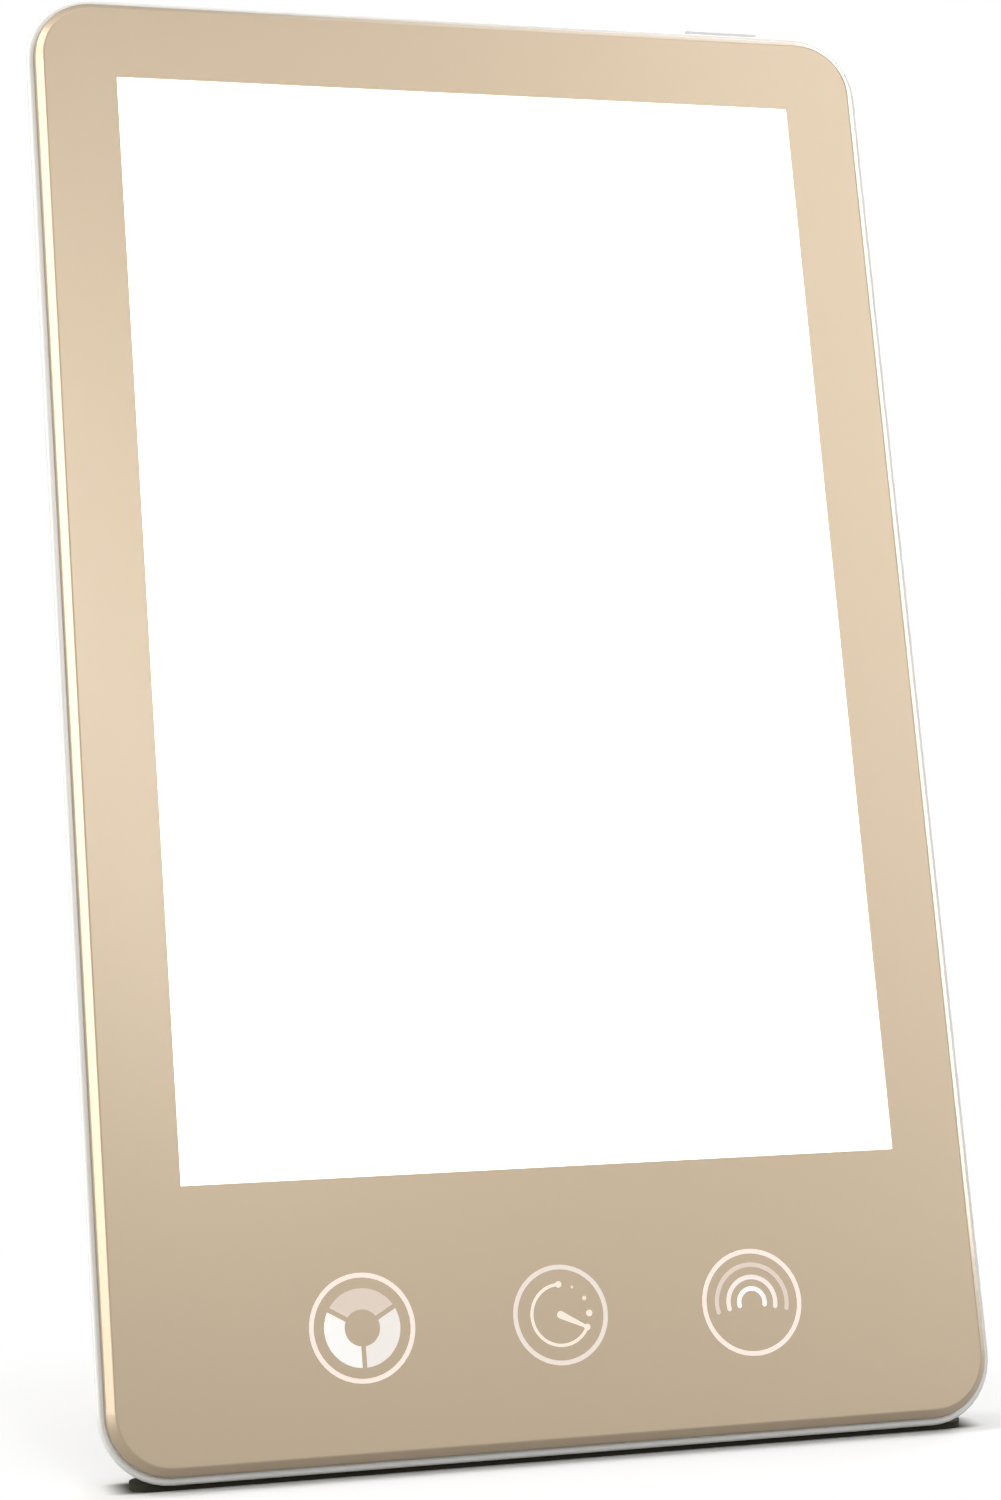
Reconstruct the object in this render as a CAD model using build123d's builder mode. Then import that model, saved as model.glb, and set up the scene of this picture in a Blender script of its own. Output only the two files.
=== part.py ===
from build123d import *
from math import acos, atan2, cos, hypot, pi, radians, sin, tan
import os

# A tablet-format light therapy lamp. A flat panel leans back on a kickstand that folds into its
# rear shell. All sizes are in millimetres. The origin is on the table, below the middle of the
# whole lamp, with X to the right as the user sees it, Y to the back and Z up.
#
# Every piece of the panel is placed in the panel's own terms: u to the right, v up along the
# face, and depth, the distance behind the flat front face. (0, 0) is the middle of the bezel.

# ---------------------------------------------------------------- driving dimensions

lean = radians(15.1)          # how far the panel leans back from upright
thickness = 15.0              # front face to flat back

bezel_width = 167.0
bezel_height = 275.2
bezel_radius = 11.5           # corner radius of the bezel's outline
bezel_chamfer = 1.5           # the bezel's front edge is bevelled at 45 degrees
crease_round = 0.5            # rounding between the face and the bevel
bevel_round = 0.8             # rounding between the bevel and the side wall
bezel_side = 2.4              # depth of the bezel's own side wall
bezel_wall = 1.6              # thickness of the front plate
skirt_inset = 0.7             # the skirt that locates the shell steps in by this much
skirt_back = 3.9
skirt_wall = 1.2

window_width = 136.6
window_height = 209.8
window_top = 15.3             # from the bezel's top edge to the window

shell_proud = 1.3             # the shell's rim stands out beyond the bezel all round
lip_depth = 2.6               # the shell starts here; the groove lies in front of it
lip_round = 0.7
rim_depth = 3.4               # widest section of the shell
draft = 20.0                  # degrees by which the shell's sides taper to the back
back_round = 5.0
shell_wall = 1.8
cavity_straight = 4.0         # the cavity's walls start to taper at this depth

foot_gap = 1.1                # height of the shell's rim above the table

key_row = -114.2              # v of the touch keys' centres
key_pitch = 37.1
ring_stroke = 0.87
colour_ring = 9.31            # radii of the three rings, to the middle of the stroke
timer_ring = 8.57
brightness_ring = 9.32
legend_depth = 0.3            # the legends are inlays this deep

button_u = 57.6
button_length = 15.0
button_depth = 6.0            # depth of the button's middle
button_thickness = 3.0
button_top = 140.4            # v of the button's top face
button_travel = 0.5
button_play = 0.2

leg_width = 51.6
leg_front = 10.0              # depth of the leg's inner face when it is folded
recess_width = 52.8
recess_floor = 9.8
recess_floor_wall = 2.2
pivot_v = 16.0
pivot_depth = 12.4
pin_radius = 1.5
pin_play = 0.05               # radial clearance of the leg on its pin
seat_play = 0.01              # radial clearance of the pins in their seats
seat_end = 33.0               # the seats and the pins run out to this u
pin_root = 18.0               # and the pins reach in to this u
heel = 2.4                    # how far the leg reaches past its pivot, to meet the stop
heel_clearance = 0.05
foot_trim = 1.7               # how much of the leg's tip the table plane takes off

# ---------------------------------------------------------------- worked-out dimensions

window_v = bezel_height / 2 - window_top - window_height / 2
shell_width = bezel_width + 2 * shell_proud
shell_height = bezel_height + 2 * shell_proud
shell_radius = bezel_radius + shell_proud
slope = tan(radians(draft))

# half height of the flat part of the back, inside its rounded edge
flat_back_v = shell_height / 2 - (thickness - rim_depth) * slope - back_round * tan(radians(45 - draft / 2))

# the rim is the lowest line of the panel, and the whole lamp is centred on the origin
face_z = foot_gap + shell_height / 2 * cos(lean) + rim_depth * sin(lean)
flat_face_v = bezel_height / 2 - bezel_chamfer - crease_round * tan(radians(22.5))
reach_front = flat_face_v * sin(lean) + crease_round * (1 - cos(lean))
reach_back = flat_back_v * sin(lean) + (thickness - back_round) * cos(lean) + back_round
face_y = (reach_front - reach_back) / 2


def leaning(origin, angle):
    """A plane that leans back by angle: its x is u, its y is v, and it faces the user."""
    return Plane(origin=origin, x_dir=(1, 0, 0), z_dir=(0, -cos(angle), sin(angle)))


panel = leaning((0, face_y, face_z), lean)

# The leg turns about its pivot until its tip, cut off level, stands on the table.
pivot = panel.from_local_coords(Vector(0, pivot_v, -pivot_depth))
tip_v = -(shell_height / 2 - (leg_front - rim_depth) * slope)
tip_reach = hypot(pivot_v - tip_v, pivot_depth - leg_front)
tip_angle = atan2(pivot_depth - leg_front, pivot_v - tip_v)
leg_lean = tip_angle + acos((pivot.Z + foot_trim) / tip_reach)
open_angle = lean + leg_lean

# In this frame the open leg has the u, v and depth that it has in the panel when it is folded.
leg_frame = leaning(pivot, -leg_lean)
leg_frame.origin = leg_frame.from_local_coords(Vector(0, -pivot_v, pivot_depth))

# the hinge's axis is this plane's normal
hinge_plane = Plane(origin=pivot, x_dir=panel.y_dir, z_dir=(1, 0, 0))


# ---------------------------------------------------------------- helpers


def block(spots, width, height, front, back, radius=0.0, frame=panel, mode=Mode.ADD):
    """Put a plate on each spot (u, v), between two depths, in the part being built."""
    with BuildSketch(frame.offset(-front)) as outline:
        with Locations(*spots):
            if radius:
                RectangleRounded(width, height, radius)
            else:
                Rectangle(width, height)
    extrude(outline.sketch, amount=front - back, mode=mode)


def post(spots, radius, front, back, frame=panel, mode=Mode.ADD):
    """Put a round post on each spot (u, v), between two depths, in the part being built."""
    with BuildSketch(frame.offset(-front)) as outline:
        with Locations(*spots):
            Circle(radius)
    extrude(outline.sketch, amount=front - back, mode=mode)


def span(low, high):
    """Middle and length of a stretch, for the centre and the size of a block."""
    return (low + high) / 2, high - low


def shell_form(frame):
    """The solid outer form of the rear shell: a short upright rim, then sides that taper."""
    toward_user = Axis(frame.origin, frame.z_dir)
    with BuildPart() as form:
        block([(0, 0)], shell_width, shell_height, lip_depth, rim_depth, shell_radius, frame)
        with BuildSketch(frame.offset(-rim_depth)):
            RectangleRounded(shell_width, shell_height, shell_radius)
        extrude(amount=rim_depth - thickness, taper=draft)
        fillet(form.faces().sort_by(toward_user)[0].edges(), back_round)
        fillet(form.faces().sort_by(toward_user)[-1].edges(), lip_round)
    return form.part


def write(builder, name):
    """Label a finished piece and write its file."""
    builder.part.label = name
    export_step(builder.part, f"parts/{name}.step")


os.makedirs("parts", exist_ok=True)

# ---------------------------------------------------------------- shared places

screw_spots = [(73, 129), (-73, 129), (73, -129), (-73, -129), (0, 129)]
screw_radius = 1.25
screw_head_radius = 2.8
screw_head_floor = 12.8       # depth of the screw head's seat in the rear shell
boss_radius = 3.0
boss_back = 8.0               # the bezel's bosses meet the shell's sleeves at this depth

board_v, board_height = span(-125.0, -96.0)
board_width = 150.0
board_front = 4.6
board_back = 5.8
board_screw_spots = [(30, -99.5), (-30, -99.5), (66, -121.5), (-66, -121.5)]
key_spots = [(-key_pitch, key_row), (0, key_row), (key_pitch, key_row)]

jack_spot = (52.0, -112.0)
jack_side = 9.0
jack_nose_radius = 4.2

guide_width = 143.0
guide_height = 214.0
flange_width = 141.0
tray_width = 149.6
tray_height = 213.2
tray_front = 6.2
tray_back = 7.0
tray_sheet = 0.8

pressing_rib_u = [50.0, 67.0]
rib_v, rib_height = span(-80.0, 115.0)
rib_front = 7.6

vent_spots = [(u, 104.0) for u in range(-25, 26, 5)]
vent_width = 1.8
vent_height = 13.0

scoop_spot = (-recess_width / 2, -75.0)
scoop_radius = 9.2
scoop_floor = 10.3

# ---------------------------------------------------------------- key legends

# The colour key shows a wheel of three segments, the timer key a dial with a hand, and the
# brightness key three arches. They are thin inlays, flush with the face of the bezel.
icon_radius = {"wheel_outer": 7.0, "wheel_inner": 3.25, "dial": 5.45, "arches": [2.5, 4.6, 6.85]}
wheel_gap = 0.85
dial_stroke = 0.6
dial_hand_angle = -27.0
arch_stroke = 0.85
arch_drop = 12.0              # degrees by which an arch runs on below its centre


def at_angle(radius, angle):
    """The point of a circle at an angle in degrees, counted from the right."""
    return radius * cos(radians(angle)), radius * sin(radians(angle))


def ring_profile(radius):
    Circle(radius + ring_stroke / 2)
    Circle(radius - ring_stroke / 2, mode=Mode.SUBTRACT)


def arc_band(radius, stroke, start, sweep_angle):
    """A curved stroke with round ends, about the origin of the sketch."""
    with BuildLine() as arc:
        CenterArc((0, 0), radius, start, sweep_angle)
    trace(arc.line, line_width=stroke)
    with Locations(at_angle(radius, start), at_angle(radius, start + sweep_angle)):
        Circle(stroke / 2)


def wheel_profile():
    Circle(icon_radius["wheel_outer"])
    Circle(icon_radius["wheel_inner"], mode=Mode.SUBTRACT)
    reach = icon_radius["wheel_outer"] + 1
    for gap_angle in (30, 150, 270):
        with Locations(Rotation(0, 0, gap_angle) * Location((reach / 2, 0))):
            Rectangle(reach, wheel_gap, mode=Mode.SUBTRACT)


def dial_profile():
    radius = icon_radius["dial"]
    arc_band(radius, dial_stroke, 90, 270 + dial_hand_angle)
    for angle, dot in ((90, 0.6), (dial_hand_angle, 0.6), (0, 0.6), (30, 0.4), (62, 0.25)):
        with Locations(at_angle(radius, angle)):
            Circle(dot)
    hand_tip = at_angle(radius, dial_hand_angle)
    side = at_angle(1.0, dial_hand_angle + 90)
    root, tip = 0.7, 0.25
    with BuildLine() as hand:
        Polyline((side[0] * root, side[1] * root), (hand_tip[0] + side[0] * tip, hand_tip[1] + side[1] * tip),
                 (hand_tip[0] - side[0] * tip, hand_tip[1] - side[1] * tip), (-side[0] * root, -side[1] * root),
                 close=True)
    make_face(hand.line)
    Circle(root)


def arches_profile():
    for radius in icon_radius["arches"]:
        arc_band(radius, arch_stroke, -arch_drop, 180 + 2 * arch_drop)


key_rings = {"colour": colour_ring, "timer": timer_ring, "brightness": brightness_ring}
key_profiles = {"colour": wheel_profile, "timer": dial_profile, "brightness": arches_profile}
legends = {}

for (key, radius), spot in zip(key_rings.items(), key_spots):
    key_centre = panel.from_local_coords(Vector(*spot, 0))
    key_plane = Plane(origin=key_centre, x_dir=panel.x_dir, z_dir=panel.z_dir)
    with BuildPart() as key_ring:
        with BuildSketch(key_plane):
            ring_profile(radius)
        extrude(amount=-legend_depth)
    write(key_ring, f"key_ring_{key}")

    with BuildPart() as key_icon:
        with BuildSketch(key_plane):
            key_profiles[key]()
        extrude(amount=-legend_depth)
    write(key_icon, f"key_icon_{key}")
    legends[key] = (key_ring.part, key_icon.part)

# ---------------------------------------------------------------- front bezel

with BuildPart() as front_bezel:
    block([(0, 0)], bezel_width, bezel_height, 0, bezel_side, bezel_radius)
    toward_user = Axis(panel.origin, panel.z_dir)
    chamfer(front_bezel.faces().sort_by(toward_user)[-1].edges(), bezel_chamfer)
    fillet(front_bezel.edges().group_by(toward_user)[-3], bevel_round)
    fillet(front_bezel.edges().group_by(toward_user)[-1], crease_round)
    block([(0, 0)], bezel_width - 2 * skirt_inset, bezel_height - 2 * skirt_inset,
          bezel_side, skirt_back, bezel_radius - skirt_inset)
    inside = 2 * (skirt_inset + skirt_wall)
    block([(0, 0)], bezel_width - inside, bezel_height - inside, bezel_wall, skirt_back,
          bezel_radius - inside / 2, mode=Mode.SUBTRACT)
    block([(0, window_v)], window_width, window_height, -1, bezel_wall, mode=Mode.SUBTRACT)

    # bosses for the shell's screws, posts for the control board, ledges round the light stack
    post(screw_spots, boss_radius, bezel_wall, boss_back)
    post(screw_spots, screw_radius + 0.05, 3.0, boss_back, mode=Mode.SUBTRACT)
    post(board_screw_spots, 2.2, bezel_wall, board_front)
    post(board_screw_spots, 0.85, 2.2, board_front, mode=Mode.SUBTRACT)
    block([(0, window_v + guide_height / 2 + 1.0), (0, window_v - guide_height / 2 - 1.0)],
          100, 1.2, bezel_wall, 6.0)

    # two slotted ribs that hold the switch board under the power button
    block([(button_u - 8.5, 126.9), (button_u + 8.5, 126.9)], 2.0, 3.2, bezel_wall, 8.0)
    block([(button_u, 126.4)], 30, 1.24, 3.0, 8.1, mode=Mode.SUBTRACT)

    for key_ring_solid, key_icon_solid in legends.values():
        add(key_ring_solid, mode=Mode.SUBTRACT)
        add(key_icon_solid, mode=Mode.SUBTRACT)
write(front_bezel, "front_bezel")

# ---------------------------------------------------------------- light stack

with BuildPart() as diffuser_plate:
    block([(0, window_v)], flange_width, guide_height, bezel_wall, 2.6)
    block([(0, window_v)], window_width - 0.2, window_height - 0.2, 0.1, bezel_wall)
write(diffuser_plate, "diffuser_plate")

with BuildPart() as prism_film:
    block([(0, window_v)], flange_width, guide_height, 2.62, 2.87)
write(prism_film, "prism_film")

with BuildPart() as light_guide:
    block([(0, window_v)], guide_width, guide_height, 2.9, 5.9)
write(light_guide, "light_guide")

with BuildPart() as reflector_sheet:
    block([(0, window_v)], guide_width, guide_height, 5.92, 6.17)
write(reflector_sheet, "reflector_sheet")

with BuildPart() as heat_tray:
    block([(0, window_v)], tray_width, tray_height, tray_front, tray_back)
    side_u = tray_width / 2 - tray_sheet / 2
    block([(side_u, window_v), (-side_u, window_v)], tray_sheet, tray_height, bezel_wall + 0.6, tray_front)
write(heat_tray, "heat_tray")

led_board_length = 208.0
led_board_thickness = 1.0
led_board_u = tray_width / 2 - tray_sheet - led_board_thickness / 2
led_count = 36
led_pitch = 5.7
led_height = 0.8
led_u = led_board_u - led_board_thickness / 2 - led_height / 2

for side, sign in (("left", -1), ("right", 1)):
    with BuildPart() as led_board:
        block([(sign * led_board_u, window_v)], led_board_thickness, led_board_length, 2.5, 6.0)
    write(led_board, f"led_board_{side}")

    with BuildPart() as leds:
        led_row = [(sign * led_u, window_v + led_pitch * (i - (led_count - 1) / 2)) for i in range(led_count)]
        block(led_row, led_height, 3.0, 3.2, 5.4)
    write(leds, f"leds_{side}")

with BuildPart() as foam_strips:
    foam_spots = [(sign * u, rib_v) for u in pressing_rib_u for sign in (-1, 1)]
    block(foam_spots, 4.0, rib_height, tray_back, rib_front)
write(foam_strips, "foam_strips")

# ---------------------------------------------------------------- control board

with BuildPart() as control_board:
    block([(0, board_v)], board_width, board_height, board_front, board_back, 1.0)
    post(board_screw_spots, 1.0, board_front, board_back, mode=Mode.SUBTRACT)
write(control_board, "control_board")

with BuildPart() as board_screws:
    post(board_screw_spots, 0.8, 2.6, board_back)
    post(board_screw_spots, 1.9, board_back, 7.1)
write(board_screws, "board_screws")

with BuildPart() as board_chips:
    block([(2, -112)], 7.0, 7.0, board_back, 6.9)
    block([(-16, -108), (-16, -116)], 5.0, 4.0, board_back, 7.2)
    block([(18, -109), (18, -117)], 6.2, 5.0, board_back, 7.3)
    block([(-28, -113), (-28, -118)], 3.2, 1.6, board_back, 6.6)
write(board_chips, "board_chips")

with BuildPart() as power_inductor:
    block([(36, -114)], 7.3, 7.3, board_back, 9.9, 1.6)
write(power_inductor, "power_inductor")

with BuildPart() as smoothing_capacitors:
    post([(-42, -107), (-51, -107)], 3.15, board_back, 12.3)
write(smoothing_capacitors, "smoothing_capacitors")

connector_spots = [(66, -103), (-66, -103), (58.5, -99.0)]
with BuildPart() as board_connectors:
    block(connector_spots[:2], 6.0, 5.0, board_back, 9.4)
    block(connector_spots[2:], 6.0, 4.4, board_back, 9.4)
write(board_connectors, "board_connectors")

with BuildPart() as icon_leds:
    block(key_spots, 2.8, 2.2, 3.9, board_front)
write(icon_leds, "icon_leds")

well_radius = 10.7
with BuildPart() as light_wells:
    post(key_spots, well_radius, bezel_wall + 0.02, board_front - 0.02)
    block([(0, key_row)], 2 * key_pitch, 3.0, 3.2, board_front - 0.02)
    post(key_spots, well_radius - 0.8, 0, board_front, mode=Mode.SUBTRACT)
write(light_wells, "light_wells")

spring_radius = 3.6
spring_wire = 0.22
for key, spot in zip(key_rings, key_spots):
    spring_foot = panel.from_local_coords(Vector(spot[0], spot[1], -(board_front - 0.3)))
    with BuildPart() as touch_spring:
        with BuildLine() as coil:
            Helix(pitch=0.8, height=2.4, radius=spring_radius, center=spring_foot, direction=panel.z_dir)
        with BuildSketch(Plane(origin=coil.line @ 0, z_dir=coil.line % 0)):
            Circle(spring_wire)
        sweep(is_frenet=True)
    write(touch_spring, f"touch_spring_{key}")

# ---------------------------------------------------------------- power inlet

jack_body_back = 13.1
with BuildPart() as dc_jack:
    block([jack_spot], jack_side, jack_side, board_back, jack_body_back, 0.6)
    post([jack_spot], jack_nose_radius, jack_body_back, thickness)
    post([jack_spot], 3.2, 7.0, thickness + 1, mode=Mode.SUBTRACT)
write(dc_jack, "dc_jack")

with BuildPart() as dc_jack_pin:
    post([jack_spot], 1.05, 7.0, 14.0)
    fillet(dc_jack_pin.faces().sort_by(Axis(panel.origin, panel.z_dir))[0].edges(), 0.5)
write(dc_jack_pin, "dc_jack_pin")

# ---------------------------------------------------------------- power button

stem_foot = 131.6
button_v, button_height = span(135.0, button_top)
flange_v, flange_height = span(134.2, 135.0)
stem_v, stem_height = span(stem_foot, 134.2)
half_button = button_thickness / 2

with BuildPart() as power_button:
    block([(button_u, button_v)], button_length, button_height,
          button_depth - half_button, button_depth + half_button)
    crown = power_button.faces().sort_by(Axis(panel.origin, panel.y_dir))[-1]
    fillet(crown.edges(), 0.5)
    block([(button_u, flange_v)], button_length + 2.4, flange_height,
          button_depth - half_button - 0.6, button_depth + half_button + 0.6)
    block([(button_u, stem_v)], 3.0, stem_height, button_depth - half_button, button_depth + half_button)
write(power_button, "power_button")

switch_base = 127.0
switch_top = 130.6

# a plane square to the button's travel: its own zero lies on the button's axis, at v = 0
travel_plane = Plane(origin=panel.from_local_coords(Vector(button_u, 0, -button_depth)),
                     x_dir=panel.x_dir, z_dir=panel.y_dir)

with BuildPart() as tact_switch:
    switch_v, switch_height = span(switch_base, switch_top)
    block([(button_u, switch_v)], 6.2, switch_height, button_depth - 3.0, button_depth + 2.0)
    with BuildSketch(travel_plane.offset(switch_top)):
        Circle(1.8)
    extrude(amount=-1.5, mode=Mode.SUBTRACT)
write(tact_switch, "tact_switch")

with BuildPart() as tact_plunger:
    with BuildSketch(travel_plane.offset(switch_top - 0.8)):
        Circle(1.72)
    extrude(amount=stem_foot - (switch_top - 0.8))
write(tact_plunger, "tact_plunger")

with BuildPart() as switch_board:
    switch_board_v, switch_board_height = span(125.8, switch_base)
    block([(button_u, switch_board_v)], 20.0, switch_board_height, 3.02, 9.0)
write(switch_board, "switch_board")

# ---------------------------------------------------------------- inner leads


def lead(stations, radii, wire_radius):
    """A wire along straight runs joined by arcs, through stations (u, v, depth)."""
    points = [panel.from_local_coords(Vector(u, v, -depth)) for u, v, depth in stations]
    with BuildLine() as route:
        FilletPolyline(*points, radius=radii)
    with BuildSketch(Plane(origin=route.line @ 0, z_dir=route.line % 0)) as section:
        Circle(wire_radius)
    sweep(section.sketch, path=route.line)


with BuildPart() as button_lead:
    for wire_u in (57.7, 59.3):
        lead([(wire_u, -96.78, 8.2), (wire_u, -92, 8.2), (wire_u, -78, 9.8), (wire_u, 106, 9.8),
              (wire_u, 120, 8.1), (wire_u, 125.78, 8.1)], [20, 20, 20, 20], 0.6)
write(button_lead, "button_lead")

for side, sign in (("left", -1), ("right", 1)):
    with BuildPart() as led_lead:
        lead([(sign * 69.02, -103.0, 7.6), (sign * 73.3, -103.0, 7.6), (sign * 73.3, -95.0, 7.6),
              (sign * 73.3, -91.0, 4.25), (sign * 73.3, -86.62, 4.25)], [2.0, 3.5, 3.5], 0.6)
    write(led_lead, f"led_lead_{side}")

# ---------------------------------------------------------------- rear shell

recess_top = pivot_v + hypot(heel, thickness - pivot_depth) + 0.25
housing_wall = 1.8
housing_floor = recess_floor - recess_floor_wall
housing_v, housing_height = span(-shell_height / 2, recess_top + housing_wall)
recess_v, recess_height = span(-shell_height / 2 - 5, recess_top)
seat_u, seat_length = span(recess_width / 2, seat_end)

with BuildPart() as cavity:
    cavity_width = shell_width - 2 * shell_wall
    cavity_height = shell_height - 2 * shell_wall
    block([(0, 0)], cavity_width, cavity_height, lip_depth - 1, cavity_straight, shell_radius - shell_wall)
    with BuildSketch(panel.offset(-cavity_straight)):
        RectangleRounded(cavity_width, cavity_height, shell_radius - shell_wall)
    extrude(amount=cavity_straight + shell_wall - thickness, taper=draft)

    # what stays solid inside the shell: the stand's housing with the seats of its pin,
    # the wall round the finger scoop, the screw sleeves and the ribs that press the foam
    block([(0, housing_v)], recess_width + 2 * housing_wall, housing_height, housing_floor, thickness,
          mode=Mode.SUBTRACT)
    block([(seat_u, pivot_v), (-seat_u, pivot_v)], seat_length, 8.0, housing_floor, thickness,
          mode=Mode.SUBTRACT)
    post([scoop_spot], scoop_radius + shell_wall, scoop_floor - shell_wall, thickness, mode=Mode.SUBTRACT)
    post(screw_spots, boss_radius + 0.6, boss_back + 0.02, thickness, mode=Mode.SUBTRACT)
    block(foam_spots, 1.8, rib_height, rib_front, thickness, mode=Mode.SUBTRACT)

with BuildPart() as rear_shell:
    add(shell_form(panel))
    add(cavity.part, mode=Mode.SUBTRACT)
    post(screw_spots, screw_radius + 0.25, 0, thickness, mode=Mode.SUBTRACT)
    post(screw_spots, screw_head_radius + 0.3, screw_head_floor, thickness + 1, mode=Mode.SUBTRACT)
    post([jack_spot], jack_nose_radius + 0.15, 10, thickness + 1, mode=Mode.SUBTRACT)

    # the stand's recess, open at the lower edge, with its stop pocket and its finger scoop
    block([(0, recess_v)], recess_width, recess_height, recess_floor, thickness + 1, mode=Mode.SUBTRACT)
    heel_reach = hypot(heel, pivot_depth - leg_front) + 0.1
    pocket_v, pocket_height = span(pivot_v, pivot_v + heel_reach)
    block([(0, pocket_v)], recess_width, pocket_height, leg_front - heel_clearance, thickness,
          frame=leg_frame, mode=Mode.SUBTRACT)
    post([scoop_spot], scoop_radius, scoop_floor, thickness + 1, mode=Mode.SUBTRACT)

    # vents above the stand, in front of the heat tray
    block(vent_spots, vent_width, vent_height, thickness - 4, thickness + 1, vent_width / 2 - 0.01,
          mode=Mode.SUBTRACT)

    # seats of the hinge pins, open to the inside of the shell
    with BuildSketch(hinge_plane):
        Circle(pin_radius + seat_play)
    extrude(amount=seat_end + 1, both=True, mode=Mode.SUBTRACT)

    # slot for the power button in the top wall
    slot_v, slot_height = span(130.0, 145.0)
    block([(button_u, slot_v)], button_length + 2 * button_play, slot_height,
          button_depth - half_button - button_play, button_depth + half_button + button_play,
          mode=Mode.SUBTRACT)
write(rear_shell, "rear_shell")

with BuildPart() as shell_screws:
    post(screw_spots, screw_radius, 3.6, screw_head_floor)
    post(screw_spots, screw_head_radius, screw_head_floor, screw_head_floor + 1.8)
    block(screw_spots, 3.4, 0.7, screw_head_floor + 0.9, thickness, mode=Mode.SUBTRACT)
    block(screw_spots, 0.7, 3.4, screw_head_floor + 0.9, thickness, mode=Mode.SUBTRACT)
write(shell_screws, "shell_screws")

# ---------------------------------------------------------------- front foot

foot_length = 158.0
foot_width = 6.0
foot_low_from = 73.0
rim_y = face_y - shell_height / 2 * sin(lean) + rim_depth * cos(lean)
foot_y = rim_y + 0.8 + foot_width / 2

with BuildPart() as front_foot:
    with BuildSketch(Plane.XY):
        with Locations((0, foot_y)):
            SlotOverall(foot_length, foot_width)
    extrude(amount=5.0)
    add(shell_form(panel), mode=Mode.SUBTRACT)
    # its ends stay low where the shell's corners curve up
    with BuildSketch(Plane.XY.offset(foot_gap + 0.2)):
        with Locations((foot_low_from + 10, foot_y), (-foot_low_from - 10, foot_y)):
            Rectangle(20, 2 * foot_width)
    extrude(amount=5.0, mode=Mode.SUBTRACT)
write(front_foot, "front_foot")

# ---------------------------------------------------------------- kickstand

pad_v = -131.0                # the rubber foot begins here
leg_top = pivot_v + heel
leg_v, leg_height = span(pad_v, leg_top)
pad_centre_v, pad_height = span(-shell_height / 2 - 5, pad_v)
leg_skin = 2.2
leg_web_back = thickness - leg_skin

with BuildPart() as stand_leg:
    add(shell_form(leg_frame))
    block([(0, leg_v)], leg_width, leg_height, leg_front, thickness, frame=leg_frame, mode=Mode.INTERSECT)
    outer_face = stand_leg.faces().sort_by(Axis(leg_frame.origin, leg_frame.z_dir))[0]
    fillet(outer_face.edges().filter_by(Axis.X, reverse=True), 0.8)

    # shallow panel sunk into the outer face
    panel_v, panel_height = span(pad_v + 6.0, pivot_v - 8.0)
    block([(0, panel_v)], leg_width - 12.0, panel_height, thickness - 0.5, thickness + 1, 4.0,
          frame=leg_frame, mode=Mode.SUBTRACT)

    # hollow inner side, stiffened by a long web and four cross webs
    pocket_low, pocket_high = pad_v + 3.0, pivot_v - 6.0
    hollow_v, hollow_height = span(pocket_low, pocket_high)
    web_count = 4
    bay = hollow_height / (web_count + 1)
    bay_spots = [(sign * leg_width / 4, pocket_low + bay * (i + 0.5)) for i in range(web_count + 1)
                 for sign in (-1, 1)]
    block(bay_spots, leg_width / 2 - 3.0, bay - 1.6, leg_front - 1, leg_web_back, 1.5,
          frame=leg_frame, mode=Mode.SUBTRACT)

    for sign in (-1, 1):
        with BuildSketch(hinge_plane.offset(sign * (pin_root - 0.3))):
            Circle(pin_radius + pin_play)
        extrude(amount=sign * leg_width, mode=Mode.SUBTRACT)
write(stand_leg, "stand_leg")

with BuildPart() as stand_foot:
    add(shell_form(leg_frame))
    block([(0, pad_centre_v)], leg_width, pad_height, leg_front, thickness, frame=leg_frame,
          mode=Mode.INTERSECT)
    with BuildSketch(Plane.XY):
        with Locations((0, pivot.Y)):
            Rectangle(200, 200)
    extrude(amount=60, mode=Mode.INTERSECT)
write(stand_foot, "stand_foot")

with BuildPart() as stand_pins:
    for sign in (-1, 1):
        with BuildSketch(hinge_plane.offset(sign * pin_root)):
            Circle(pin_radius)
        extrude(amount=sign * (seat_end - pin_root))
    chamfer(stand_pins.edges().filter_by(GeomType.CIRCLE), 0.3)
write(stand_pins, "stand_pins")

washer_thickness = 0.4
with BuildPart() as stand_washers:
    for sign in (-1, 1):
        washer_u = sign * (leg_width + recess_width) / 4
        with BuildSketch(hinge_plane.offset(washer_u)):
            Circle(2.3)
            Circle(pin_radius + pin_play, mode=Mode.SUBTRACT)
        extrude(amount=washer_thickness / 2, both=True)
write(stand_washers, "stand_washers")

print("face", round(face_y, 3), round(face_z, 3), "window", round(window_v, 2))
print("pivot", [round(x, 3) for x in pivot], "open angle", round(open_angle * 180 / pi, 3))
print("leg leans", round(leg_lean * 180 / pi, 3), "rim y", round(rim_y, 3))
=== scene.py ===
# %% [markdown]
# A light therapy lamp, dressed for the camera
#
# The lamp's solids come from CAD, and they are already the right size and in the right place. This
# lesson loads them, sets up a camera, a floor and a soft studio light, and then gives each piece
# the finish that it has on the real object. Everything is in metres, with +Z up.

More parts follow.
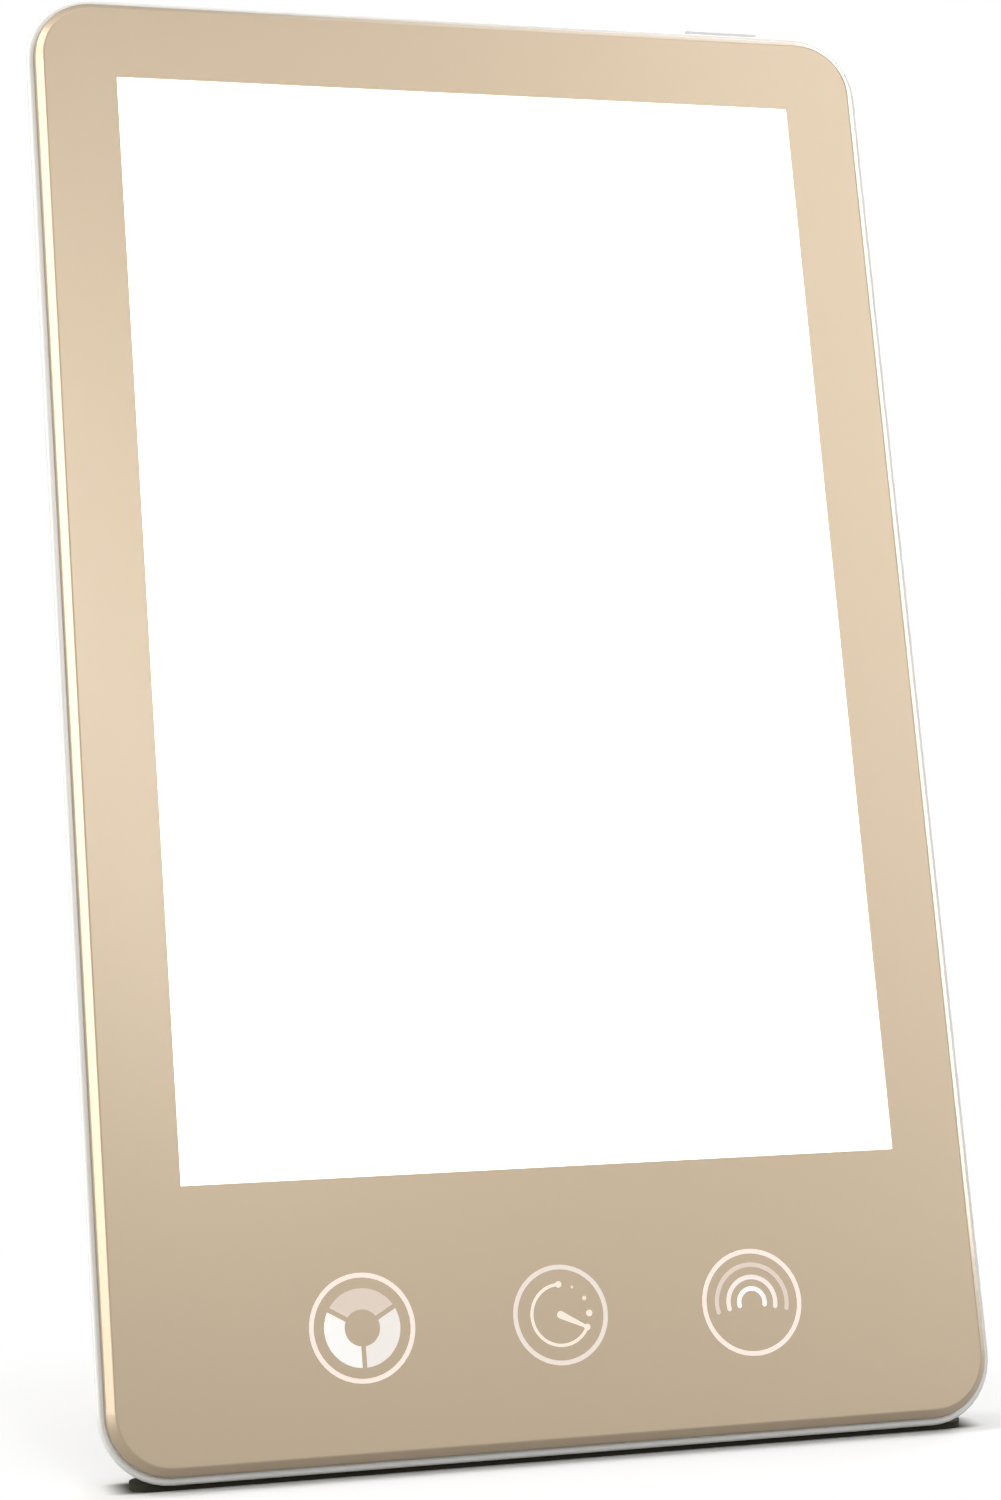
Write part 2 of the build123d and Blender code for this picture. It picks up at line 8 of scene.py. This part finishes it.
# %% Load the solids
from math import atan2, cos, pi, radians, sin
import bmesh
import bpy
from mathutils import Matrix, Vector

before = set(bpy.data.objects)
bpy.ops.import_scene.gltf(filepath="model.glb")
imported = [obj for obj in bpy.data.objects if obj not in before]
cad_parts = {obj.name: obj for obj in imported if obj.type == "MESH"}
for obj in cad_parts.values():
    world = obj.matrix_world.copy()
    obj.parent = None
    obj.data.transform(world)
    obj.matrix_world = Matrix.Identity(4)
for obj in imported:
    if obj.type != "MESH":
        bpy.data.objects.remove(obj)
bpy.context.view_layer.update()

# %% [markdown]
# The panel leans back. Its patterns and the places of its keys are easier to think about on the
# panel itself, where u runs to the right and v runs up the face. One small function turns those two
# numbers into a place in the scene.

# %% The leaning panel
LEAN = radians(15.1)
FACE_CENTRE = Vector((0.0, -0.006704, 0.136090))
ACROSS = Vector((1.0, 0.0, 0.0))
UP_FACE = Vector((0.0, sin(LEAN), cos(LEAN)))


def on_panel(u, v):
    """A place on the front face, given in millimetres, as a point in the scene."""
    return FACE_CENTRE + ACROSS * (u / 1000) + UP_FACE * (v / 1000)


WINDOW_TOP = on_panel(0, 122.3)
print("middle of the window's top edge", [round(x, 4) for x in WINDOW_TOP])

# %% [markdown]
# The camera
#
# The lens is long for its sensor, so the panel keeps its straight edges and tapers only a little.
# The camera stands to the left, a little above the middle of the lamp, and looks slightly down.

# %% Camera
LOOK_DOWN_DEGREES = 2.376
LOOK_RIGHT = atan2(0.2986, 0.9534)

camera_data = bpy.data.cameras.new("camera")
camera_data.sensor_width = 36.0
camera_data.lens = 80.1
camera_data.clip_start = 0.05
camera_data.clip_end = 20.0
camera = bpy.data.objects.new("camera", camera_data)
camera.location = WINDOW_TOP + Vector((-0.1893, -0.6296, -0.1013))
camera.rotation_euler = (radians(90 - LOOK_DOWN_DEGREES), 0.0, -LOOK_RIGHT)
bpy.context.scene.collection.objects.link(camera)
bpy.context.scene.camera = camera
print("camera at", [round(x, 4) for x in camera.location])

# %% [markdown]
# Small helpers for nodes
#
# Every finish is a graph of nodes. In the editor it is made by hand, node by node. A script can do
# the same, but its many short lines hide what is going on. A few helpers keep a graph readable:
# they add a node with its values, and write a sum on one line. The last two turn a colour from a
# paint chart into light, and start a group, which is a graph with named inputs that several
# finishes can share.


# %% Nodes and links
def feed(tree, value, socket):
    """Give a socket a link, where the value is another node's output, or else a plain value."""
    if isinstance(value, bpy.types.NodeSocket):
        tree.links.new(value, socket)
    else:
        socket.default_value = value


def add_node(tree, kind, inputs=None, **settings):
    """A new node. The settings are its own, and the inputs are fed by name or by number."""
    node = tree.nodes.new(kind)
    for name, value in settings.items():
        setattr(node, name, value)
    for label, value in (inputs or {}).items():
        feed(tree, value, node.inputs[label])
    return node


def empty_tree(owner):
    """The node tree of a material or a world, with nothing in it yet."""
    owner.use_nodes = True
    owner.node_tree.nodes.clear()
    return owner.node_tree


print("helpers for nodes")


# %% Sums
def maths(tree, operation, *values, clamp=False):
    """The result of a sum on numbers."""
    node = add_node(tree, "ShaderNodeMath", dict(enumerate(values)), operation=operation,
                    use_clamp=clamp)
    return node.outputs["Value"]


def vector_maths(tree, operation, *values, output="Vector"):
    """The result of a sum on vectors. A length and a dot product come out as Value."""
    node = add_node(tree, "ShaderNodeVectorMath", dict(enumerate(values)), operation=operation)
    return node.outputs[output]


print("helpers for sums")

# %% Colours and groups
FLOAT, VECTOR, COLOUR = "NodeSocketFloat", "NodeSocketVector", "NodeSocketColor"


def srgb(red, green, blue):
    """A colour as a paint chart gives it, 0 to 255, turned into light."""
    def light(value):
        value /= 255
        return value / 12.92 if value <= 0.04045 else ((value + 0.055) / 1.055) ** 2.4
    return light(red), light(green), light(blue), 1.0


def new_group(name, inputs, outputs):
    """An empty shader group, with what it is given and what it gives out.

    The inputs are (name, kind, value), and the outputs are (name, kind).
    """
    group = bpy.data.node_groups.new(name, "ShaderNodeTree")
    for label, kind, value in inputs:
        socket = group.interface.new_socket(label, in_out="INPUT", socket_type=kind)
        if value is not None:
            socket.default_value = value
    for label, kind in outputs:
        group.interface.new_socket(label, in_out="OUTPUT", socket_type=kind)
    given = group.nodes.new("NodeGroupInput").outputs
    gives = group.nodes.new("NodeGroupOutput").inputs
    return group, given, gives


print("mid grey as light", [round(x, 3) for x in srgb(128, 128, 128)])

# %% [markdown]
# The studio
#
# A pale floor runs far behind the lamp, and the world beyond it is white. A plain white floor would
# still go grey in the distance, so a ray that comes straight from the camera, from a mirror or
# through glass sees it partly as its own light. That share is nothing at the two feet, where the
# contact shadows have to stay dark, and grows to the whole within a few centimetres. A group works
# the share out for one foot, and the floor multiplies three of them.


# %% Rays that show a background
def seen_directly(tree):
    """1 for rays from the camera, from gloss or through glass, and 0 for light that bounces."""
    path = add_node(tree, "ShaderNodeLightPath").outputs
    camera_or_gloss = maths(tree, "MAXIMUM", path["Is Camera Ray"], path["Is Glossy Ray"])
    return maths(tree, "MAXIMUM", camera_or_gloss, path["Is Transmission Ray"])


print("helper for direct rays")

# %% Share round a foot
foot_share, given, gives = new_group("share_round_a_foot", [
    ("Position", VECTOR, None), ("Centre", VECTOR, (0, 0, 0)), ("Half Size", VECTOR, (0, 0, 0)),
    ("Fade", VECTOR, (1, 1, 1)), ("Least", FLOAT, 0.0)], [("Share", FLOAT)])
offset = vector_maths(foot_share, "SUBTRACT", given["Position"], given["Centre"])
distance = vector_maths(foot_share, "ABSOLUTE", offset)
past_edge = vector_maths(foot_share, "SUBTRACT", distance, given["Half Size"])
outside = vector_maths(foot_share, "MAXIMUM", past_edge, (0, 0, 0))
in_fades = vector_maths(foot_share, "DIVIDE", outside, given["Fade"])
away = vector_maths(foot_share, "LENGTH", in_fades, output="Value")
rise = add_node(foot_share, "ShaderNodeMapRange", {"Value": away, "To Min": given["Least"]},
                interpolation_type="SMOOTHSTEP")
feed(foot_share, rise.outputs["Result"], gives["Share"])
print("group", foot_share.name)

# %% [markdown]
# The world would light the lamp from all round if it were simply white, and its shadows would go.
# So it has two backgrounds: white for the rays that show it, and a faint fill for the light.

# %% World
WHITE = (1.0, 1.0, 1.0, 1.0)

world = bpy.data.worlds.new("studio")
bpy.context.scene.world = world
sky = empty_tree(world)
fill = add_node(sky, "ShaderNodeBackground", {"Color": (0.97, 0.98, 1.0, 1), "Strength": 0.10})
backdrop = add_node(sky, "ShaderNodeBackground", {"Color": WHITE, "Strength": 1.0})
choose = add_node(sky, "ShaderNodeMixShader", {
    "Fac": seen_directly(sky), 1: fill.outputs[0], 2: backdrop.outputs[0]})
add_node(sky, "ShaderNodeOutputWorld", {"Surface": choose.outputs[0]})
print("world", world.name, "nodes", len(sky.nodes))

# %% [markdown]
# The floor is one flat sheet of matte paper. Where bounced light meets it, it is darker than it
# looks, so that it doesn't throw a pool of light up at the lamp. Right against the front foot, where
# hardly any light gets in, a shadow is painted into the paper's colour as well.


# %% Flat sheet
def flat_sheet(name, width, depth, shift):
    """A flat rectangle, moved within its own mesh."""
    sheet_mesh = bmesh.new()
    bmesh.ops.create_grid(sheet_mesh, x_segments=1, y_segments=1, size=0.5)
    bmesh.ops.scale(sheet_mesh, verts=sheet_mesh.verts, vec=(width, depth, 1))
    bmesh.ops.translate(sheet_mesh, verts=sheet_mesh.verts, vec=shift)
    sheet_data = bpy.data.meshes.new(name)
    sheet_mesh.to_mesh(sheet_data)
    sheet_mesh.free()
    sheet = bpy.data.objects.new(name, sheet_data)
    bpy.context.scene.collection.objects.link(sheet)
    return sheet


floor = flat_sheet("floor", 6.0, 6.0, (0, 1.2, 0))
print("floor", tuple(floor.dimensions))

# %% Floor paper
PAPER = (0.93, 0.93, 0.93, 1)
PAPER_FOR_BOUNCES = (0.35, 0.35, 0.35, 1)
# A dark paper tone for the painted shadow round the front foot.
PAINTED_FOOT_SHADOW = srgb(46, 44, 34)

floor_finish = bpy.data.materials.new("floor_paper")
ground = empty_tree(floor_finish)
ground_place = add_node(ground, "ShaderNodeTexCoord").outputs["Object"]


def near_foot(centre, half_size, fade, least):
    """The share near one foot: least over the foot, and 1 beyond the fade."""
    return add_node(ground, "ShaderNodeGroup", {
        "Position": ground_place, "Centre": centre, "Half Size": half_size, "Fade": fade,
        "Least": least}, node_tree=foot_share).outputs["Share"]


paper_tone = add_node(ground, "ShaderNodeMix", {
    "Factor": seen_directly(ground), "A": PAPER_FOR_BOUNCES, "B": PAPER}, data_type="RGBA")
# Painted shadow: in a narrow band round the front foot, the paper's colour turns to a dark tone.
painted_shadow_mask = near_foot((0, -0.0351, 0), (0.0774, 0.0025, 0), (0.0068, 0.0026, 1), 0.0)
paper_with_painted_shadow = add_node(ground, "ShaderNodeMix", {
    "Factor": painted_shadow_mask, "A": PAINTED_FOOT_SHADOW, "B": paper_tone.outputs["Result"]}, data_type="RGBA")
paper = add_node(ground, "ShaderNodeBsdfDiffuse", {"Color": paper_with_painted_shadow.outputs["Result"]})
print("paper", floor_finish.name)

# %% Floor's own light
share = seen_directly(ground)
for centre, half_size, fade, least in (
        ((0, -0.0358, 0), (0.083, 0.0040, 0), (0.016, 0.006, 1), 0.0),   # front foot
        ((0, 0.0384, 0), (0.027, 0.0040, 0), (0.014, 0.010, 1), 0.0),    # stand's foot
        ((0, 0, 0), (0.070, 0.0300, 0), (0.055, 0.055, 1), 0.40)):       # soft shade between them
    share = maths(ground, "MULTIPLY", share, near_foot(centre, half_size, fade, least))
glow = add_node(ground, "ShaderNodeEmission", {"Color": WHITE, "Strength": 1.0})
mix = add_node(ground, "ShaderNodeMixShader", {
    "Fac": share, 1: paper.outputs[0], 2: glow.outputs[0]})
add_node(ground, "ShaderNodeOutputMaterial", {"Surface": mix.outputs[0]})
floor.data.materials.append(floor_finish)
print("floor at z = 0, nodes", len(ground.nodes))

# %% [markdown]
# Soft lights
#
# A satin face shows its light as a broad, soft brightening. Two long strips in front of the lamp do
# that: a sloping one gives the middle of the left side its glow, and an upright one lights the top
# right. A bevel works as a narrow mirror turned to one side, so each bright edge has a light of its
# own: a tall strip and a panel above it on the left, and a strip that leans back as the lamp does on
# the right. A large panel overhead and another behind light the top and the back.


# %% Light helper
def soft_light(name, place, aim, size, power, colour=(1.0, 1.0, 1.0), roll=0.0):
    """A soft rectangle of light that faces its aim.

    Size is its width and height, power is in watts, and roll turns it in its own plane, in degrees.
    """
    data = bpy.data.lights.new(name, "AREA")
    data.shape = "RECTANGLE"
    data.size, data.size_y = size
    data.energy = power
    data.color = colour
    lamp = bpy.data.objects.new(name, data)
    lamp.location = place
    lamp.rotation_euler = (Vector(aim) - lamp.location).to_track_quat("-Z", "Y").to_euler()
    lamp.rotation_euler.rotate_axis("Z", radians(roll))
    bpy.context.scene.collection.objects.link(lamp)
    print(name, "at", place)


# %% Lights
MIDDLE = (0, 0, 0.14)
UPPER_HALF = (0, 0, 0.2)
WARM = (1.0, 0.98, 0.94)

soft_light("front_strip", (0.109, -1.037, 0.734), MIDDLE, (0.54, 0.12), 2.8, roll=-65)
soft_light("right_front", (0.589, -0.837, 0.766), MIDDLE, (0.20, 1.02), 4.1)
soft_light("left_side", (-1.05, -0.10, 0.36), MIDDLE, (0.13, 0.85), 8.0, WARM)
soft_light("left_top", (-0.80, 0.19, 0.98), UPPER_HALF, (0.3, 0.5), 4.0, WARM)
soft_light("right_side", (0.50, 0.22, 0.215), (0, 0, 0.21), (0.12, 0.44), 1.15, (1.0, 0.98, 0.93),
           roll=-15)
soft_light("top_softbox", (0.0, 0.05, 1.4), (0, 0, 0), (1.3, 1.0), 6.0)
soft_light("back_fill", (0.95, 1.15, 1.05), UPPER_HALF, (1.0, 0.9), 10.0)

# %% [markdown]
# A pale edge against a pale room is lost. A dark card behind the lamp on the left, which the camera
# itself doesn't see, is mirrored in the upper left edge and draws it as a darker line. A line
# painted on the shell would look wrong from every other side.


# %% Finish helper
def new_finish(name, plain):
    """A material, its node tree and its shader, with the shader's plain values set."""
    finish = bpy.data.materials.new(name)
    finish.use_nodes = True
    shader = finish.node_tree.nodes["Principled BSDF"]
    for label, value in plain.items():
        shader.inputs[label].default_value = value
    return finish, finish.node_tree, shader


print("helper for finishes")

# %% Dark card
card = flat_sheet("dark_card", 1.1, 1.3, (0, 0, 0))
card.location = (-0.35, 0.9, 0.70)
card.rotation_euler = (card.location - Vector((0, 0, 0.15))).to_track_quat("Z", "Y").to_euler()
card.visible_camera = False
cloth, _, _ = new_finish("dark_card_cloth", {"Base Color": (0.02, 0.02, 0.02, 1), "Roughness": 0.9})
card.data.materials.append(cloth)
print("card at", tuple(card.location))

# %% [markdown]
# Shared effects
#
# Several finishes need the same small effects, so each effect is a node group with named inputs,
# and every finish sets its own values. The first is the grain of moulded plastic and paint: tiny
# pits from the mould, a very slow drift of colour, and a roughness that is never quite even. One
# noise could serve for all three, but the pits are hundreds of times finer than the drift, so there
# are two.


# %% Speckle
def speckle(tree, position, scale, detail):
    """Noise from 0 to 1, about 0.5 on average."""
    return add_node(tree, "ShaderNodeTexNoise", {
        "Vector": position, "Scale": scale, "Detail": detail}).outputs["Fac"]


def vary(tree, middle, noise, spread, clamp=False):
    """A value that noise moves to either side of its middle, by half of the spread at most."""
    from_middle = maths(tree, "SUBTRACT", noise, 0.5)
    return maths(tree, "ADD", maths(tree, "MULTIPLY", from_middle, spread), middle, clamp=clamp)


print("helpers for noise")

# %% Moulded grain
grain, given, gives = new_group("moulded_grain", [
    ("Position", VECTOR, None), ("Colour", COLOUR, (0.8, 0.8, 0.8, 1)), ("Drift", FLOAT, 0.03),
    ("Grain Size", FLOAT, 0.0004), ("Roughness", FLOAT, 0.5), ("Unevenness", FLOAT, 0.06)],
    [("Colour", COLOUR), ("Roughness", FLOAT), ("Height", FLOAT)])
grains_per_metre = maths(grain, "DIVIDE", 1.0, given["Grain Size"])
pits = speckle(grain, given["Position"], scale=grains_per_metre, detail=2.0)
slow = speckle(grain, given["Position"], scale=14.0, detail=3.0)
tint = add_node(grain, "ShaderNodeVectorMath", {
    0: given["Colour"], "Scale": vary(grain, 1.0, slow, given["Drift"])}, operation="SCALE")
feed(grain, tint.outputs["Vector"], gives["Colour"])
uneven = vary(grain, given["Roughness"], pits, given["Unevenness"], clamp=True)
feed(grain, uneven, gives["Roughness"])
feed(grain, pits, gives["Height"])
print("group", grain.name, "gives", [socket.name for socket in gives if socket.name])

# %% [markdown]
# One function builds a finish on that group. Numbers that are the same all over the piece are set
# on the shader itself, and only what varies comes through a link.


# %% Moulded finishes
def moulded(name, colour, roughness, drift=0.03, size=0.0004, relief=0.06, uneven=0.06, plain=None):
    """A moulded or painted finish. Plain holds what else the shader is told, by name."""
    finish, tree, shader = new_finish(name, plain or {})
    place = add_node(tree, "ShaderNodeTexCoord", name="place")
    effect = add_node(tree, "ShaderNodeGroup", {
        "Position": place.outputs["Object"], "Colour": colour, "Drift": drift, "Grain Size": size,
        "Roughness": roughness, "Unevenness": uneven}, name="grain", node_tree=grain)
    bump = add_node(tree, "ShaderNodeBump", {
        "Strength": relief, "Distance": 0.0002, "Height": effect.outputs["Height"]})
    feed(tree, effect.outputs["Colour"], shader.inputs["Base Color"])
    feed(tree, effect.outputs["Roughness"], shader.inputs["Roughness"])
    feed(tree, bump.outputs["Normal"], shader.inputs["Normal"])
    return finish


def dress(finish, *names):
    """Put a finish on CAD nodes."""
    for name in names:
        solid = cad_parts[name]
        solid.data.materials.clear()
        solid.data.materials.append(finish)
    print(finish.name, "on", ", ".join(names))


# %% [markdown]
# The bezel is moulded plastic under a satin champagne-gold paint. Such a paint is a fine metal
# flake in a tinted base, so part of its colour is a broad metallic sheen. A fully metallic shader
# would mirror the room too clearly, so only about a third of it is metal. A light clear coat on top
# gives the bevelled edge its pale line.

# %% Bezel
dress(moulded("champagne_gold_paint", srgb(177, 159, 134), 0.38, drift=0.02, size=0.00018,
              relief=0.05, uneven=0.08,
              plain={"Metallic": 0.35, "Coat Weight": 0.2, "Coat Roughness": 0.2}), "front_bezel")

# %% [markdown]
# The shell and the stand are bare white plastic, and their moulds leave the shell glossier than the
# stand. The button is pale grey. All of them share one grain and differ only in its values. The
# feet are dull rubber, which hardly shines, so their specular level is lowered too. Their warm
# near-black and low shine are also matched to the shadow under the lamp's lower edge, so the front
# foot partly stands in for painted shade there.

# %% Shell, stand, button and feet
dress(moulded("white_shell_plastic", srgb(240, 239, 236), 0.24, size=0.0005), "rear_shell")
dress(moulded("white_stand_plastic", srgb(238, 237, 234), 0.46, size=0.0005, relief=0.10),
      "stand_leg")
dress(moulded("pale_grey_button", srgb(216, 214, 214), 0.38, relief=0.05), "power_button")
# The rubber's warm near-black and low shine are partly painted shade, matched to the shadow under the
# lamp's lower edge.
dress(moulded("dark_rubber_and_painted_shade", srgb(44, 41, 29), 0.8, drift=0.10, size=0.0006, relief=0.2,
              plain={"Specular IOR Level": 0.3}), "front_foot", "stand_foot")

# %% [markdown]
# The window is an opal acrylic plate with light behind it. Switched on, it is an even white. Light
# could be sent through the plate from the LEDs, but that takes very long to render, so the finish
# gives off an even light of its own.

# %% Lit window
dress(moulded("lit_opal_acrylic", srgb(250, 250, 249), 0.35, drift=0.0, size=0.0003, relief=0.02,
              plain={"Emission Color": WHITE, "Emission Strength": 1.15}), "diffuser_plate")

# %% [markdown]
# The key legends are thin inlays. Two of them change colour from part to part: the wheel has three
# segments, and the arches go from white to beige. A group gives each point's angle and distance
# about the middle of its key, so a colour can be picked by either.

# %% Angle and distance about a key
about_key, given, gives = new_group("about_key", [
    ("Position", VECTOR, None), ("Centre", VECTOR, (0, 0, 0)), ("Up Face", VECTOR, tuple(UP_FACE))],
    [("Angle", FLOAT), ("Distance", FLOAT)])
offset = vector_maths(about_key, "SUBTRACT", given["Position"], given["Centre"])
right = add_node(about_key, "ShaderNodeSeparateXYZ", {0: offset}).outputs["X"]
up = vector_maths(about_key, "DOT_PRODUCT", offset, given["Up Face"], output="Value")
feed(about_key, maths(about_key, "ARCTAN2", up, right), gives["Angle"])
right_squared = maths(about_key, "MULTIPLY", right, right)
up_squared = maths(about_key, "MULTIPLY", up, up)
squares = maths(about_key, "ADD", right_squared, up_squared)
feed(about_key, maths(about_key, "SQRT", squares), gives["Distance"])
print("group", about_key.name)

# %% [markdown]
# A legend is printed in flat colour, and a little light comes through it from behind, so it gives
# off some of its own colour. Where it has steps of colour, a colour ramp without blending picks them.

# %% Legend finishes
LEGEND_GLOW = 0.35
KEY_ROW = -114.2
KEY_PITCH = 37.1


def plain_legend(name, colour):
    """A printed inlay in one colour."""
    return moulded(name, colour, 0.5, drift=0.0, size=0.0003, relief=0.02,
                   plain={"Emission Color": colour, "Emission Strength": LEGEND_GLOW})


def stepped_legend(name, key_u, by, low, high, stops):
    """A printed inlay whose colour steps along stops, by Angle or by Distance about its key.

    The stops are (share of the way from low to high, colour).
    """
    finish = plain_legend(name, stops[0][1])
    tree = finish.node_tree
    about = add_node(tree, "ShaderNodeGroup", {
        "Position": tree.nodes["place"].outputs["Object"],
        "Centre": tuple(on_panel(key_u, KEY_ROW))}, node_tree=about_key)
    spread = add_node(tree, "ShaderNodeMapRange", {
        "Value": about.outputs[by], "From Min": low, "From Max": high})
    ramp = add_node(tree, "ShaderNodeValToRGB", {"Fac": spread.outputs["Result"]})
    ramp.color_ramp.interpolation = "CONSTANT"
    steps = ramp.color_ramp.elements
    while len(steps) < len(stops):
        steps.new(0.5)
    for step, (position, colour) in zip(steps, stops):
        step.position = position
        step.color = colour
    feed(tree, ramp.outputs["Color"], tree.nodes["grain"].inputs["Colour"])
    feed(tree, ramp.outputs["Color"], tree.nodes["Principled BSDF"].inputs["Emission Color"])
    return finish


print("legends glow at", LEGEND_GLOW)


# %% Wheel and arches
ARCH_REACH = 0.01


def round_the_key(angle):
    """An angle in degrees, as the share of the way from -180 to 180."""
    return 0.5 + angle / 360


dress(stepped_legend("wheel_print", -KEY_PITCH, "Angle", -pi, pi, [
    (round_the_key(-180), srgb(243, 241, 238)), (round_the_key(-90), srgb(232, 226, 221)),
    (round_the_key(30), srgb(214, 198, 184)), (round_the_key(150), srgb(243, 241, 238))]),
    "key_icon_colour")
dress(stepped_legend("arches_print", KEY_PITCH, "Distance", 0.0, ARCH_REACH, [
    (0.0, srgb(244, 241, 237)), (0.36, srgb(239, 227, 219)), (0.58, srgb(216, 199, 186))]),
    "key_icon_brightness")

# %% Rings and dial
dress(plain_legend("ring_print", srgb(243, 228, 217)), "key_ring_colour", "key_ring_brightness")
dress(plain_legend("timer_ring_print", srgb(228, 216, 206)), "key_ring_timer")
dress(plain_legend("dial_print", srgb(240, 227, 211)), "key_icon_timer")

# %% [markdown]
# Inside the shell
#
# The inner parts show only when the lamp is taken apart, and each still gets a finish that says
# what it is made of. The film and the light guide are clear plastic. With all of the light let
# through they would vanish, so they keep a little colour of their own. The sheet behind them is
# white.


# %% Clear plastics
def clear(name, colour, roughness, bending):
    """A clear plastic. Bending is how much it turns light, its index of refraction."""
    return moulded(name, colour, roughness, drift=0.0, size=0.0005, relief=0.02,
                   plain={"Transmission Weight": 0.85, "IOR": bending})


dress(clear("prism_film_clear", srgb(240, 244, 246), 0.25, 1.57), "prism_film")
dress(clear("light_guide_acrylic", srgb(236, 246, 247), 0.08, 1.49), "light_guide")
dress(moulded("white_reflector_film", srgb(248, 248, 248), 0.3), "reflector_sheet")

# %% [markdown]
# Rolled sheet and wire show fine lines along the direction they were drawn in. Stretching noise
# along one axis makes such lines: the group first multiplies that axis by a small number, so the
# noise hardly changes along it.

# %% Drawn lines
drawn, given, gives = new_group("drawn_lines", [
    ("Position", VECTOR, None), ("Stretch", VECTOR, (1, 1, 0.04)), ("Scale", FLOAT, 1500.0),
    ("Roughness", FLOAT, 0.3), ("Unevenness", FLOAT, 0.15)],
    [("Roughness", FLOAT), ("Height", FLOAT)])
stretched = vector_maths(drawn, "MULTIPLY", given["Position"], given["Stretch"])
streaks = speckle(drawn, stretched, scale=given["Scale"], detail=3.0)
streaked = vary(drawn, given["Roughness"], streaks, given["Unevenness"], clamp=True)
feed(drawn, streaked, gives["Roughness"])
feed(drawn, streaks, gives["Height"])
print("group", drawn.name)


# %% Metal finishes
def drawn_metal(name, colour, roughness, stretch=(1, 1, 1)):
    """A bare metal with fine lines along the axis that the stretch makes small."""
    finish, tree, shader = new_finish(name, {"Base Color": colour, "Metallic": 1.0})
    place = add_node(tree, "ShaderNodeTexCoord")
    effect = add_node(tree, "ShaderNodeGroup", {
        "Position": place.outputs["Object"], "Stretch": stretch, "Roughness": roughness},
        node_tree=drawn)
    bump = add_node(tree, "ShaderNodeBump", {
        "Strength": 0.08, "Distance": 0.0001, "Height": effect.outputs["Height"]})
    feed(tree, effect.outputs["Roughness"], shader.inputs["Roughness"])
    feed(tree, bump.outputs["Normal"], shader.inputs["Normal"])
    return finish


dress(drawn_metal("bare_aluminium_sheet", srgb(205, 207, 209), 0.32, (1, 1, 0.04)), "heat_tray")
dress(drawn_metal("zinc_plated_steel", srgb(186, 187, 190), 0.30, (0.3, 1, 1)),
      "shell_screws", "board_screws", "stand_pins")
dress(drawn_metal("spring_wire", srgb(196, 196, 196), 0.25),
      "touch_spring_colour", "touch_spring_timer", "touch_spring_brightness")
dress(drawn_metal("nickel_contact", srgb(205, 200, 188), 0.22), "dc_jack_pin")

# %% [markdown]
# A circuit board is green or white lacquer over copper tracks. Real tracks wander, but from outside
# they read as a fine grid, so a pattern of bricks in the board's own plane is enough: its joints
# become the tracks.


# %% Circuit boards
def circuit_board(name, lacquer, track, across, up):
    """A lacquered board whose tracks run along two directions, across and up."""
    finish = moulded(name, lacquer, 0.35, drift=0.05, size=0.0003, relief=0.02)
    tree = finish.node_tree
    place = tree.nodes["place"].outputs["Object"]
    flat = add_node(tree, "ShaderNodeCombineXYZ", {
        "X": vector_maths(tree, "DOT_PRODUCT", place, tuple(across), output="Value"),
        "Y": vector_maths(tree, "DOT_PRODUCT", place, tuple(up), output="Value")})
    darker = tuple(0.85 * part for part in lacquer[:3]) + (1.0,)
    bricks = add_node(tree, "ShaderNodeTexBrick", {
        "Vector": flat.outputs["Vector"], "Color1": lacquer, "Color2": darker, "Mortar": track,
        "Scale": 160.0, "Mortar Size": 0.03})
    feed(tree, bricks.outputs["Color"], tree.nodes["grain"].inputs["Colour"])
    return finish


INTO = Vector((0.0, cos(LEAN), -sin(LEAN)))
GREEN, GREEN_TRACK = srgb(22, 92, 58), srgb(70, 138, 84)
dress(circuit_board("green_board", GREEN, GREEN_TRACK, ACROSS, UP_FACE), "control_board")
dress(circuit_board("green_switch_board", GREEN, GREEN_TRACK, ACROSS, INTO), "switch_board")
dress(circuit_board("white_board", srgb(236, 236, 232), srgb(214, 206, 184), INTO, UP_FACE),
      "led_board_left", "led_board_right")

# %% [markdown]
# The small parts are moulded too, in resin, nylon, foam or rubbery insulation. They differ in
# colour, in how matte they are and in the size of their grain, so the moulded finish does for all.

# %% Small parts
dress(moulded("yellow_phosphor", srgb(240, 222, 130), 0.4), "leds_left", "leds_right", "icon_leds")
dress(moulded("grey_foam", srgb(98, 98, 100), 0.9, drift=0.2, size=0.0009, relief=0.6),
      "foam_strips")
dress(moulded("black_resin", srgb(38, 38, 40), 0.45, size=0.0005), "board_chips", "tact_switch")
dress(moulded("ferrite", srgb(66, 66, 70), 0.6, drift=0.15, size=0.0006), "power_inductor")
dress(moulded("capacitor_sleeve", srgb(34, 42, 78), 0.25, size=0.0008), "smoothing_capacitors")
dress(moulded("ivory_nylon", srgb(228, 220, 200), 0.45), "board_connectors")
dress(moulded("white_nylon", srgb(232, 232, 228), 0.45),
      "light_wells", "tact_plunger", "stand_washers")
dress(moulded("black_nylon", srgb(30, 30, 31), 0.4), "dc_jack")
dress(moulded("red_insulation", srgb(176, 36, 30), 0.38, size=0.0006),
      "button_lead", "led_lead_left", "led_lead_right")

# %% [markdown]
# Last, the scene shows its colours through the Standard view transform.

# %% Finish
bpy.context.scene.view_settings.view_transform = "Standard"
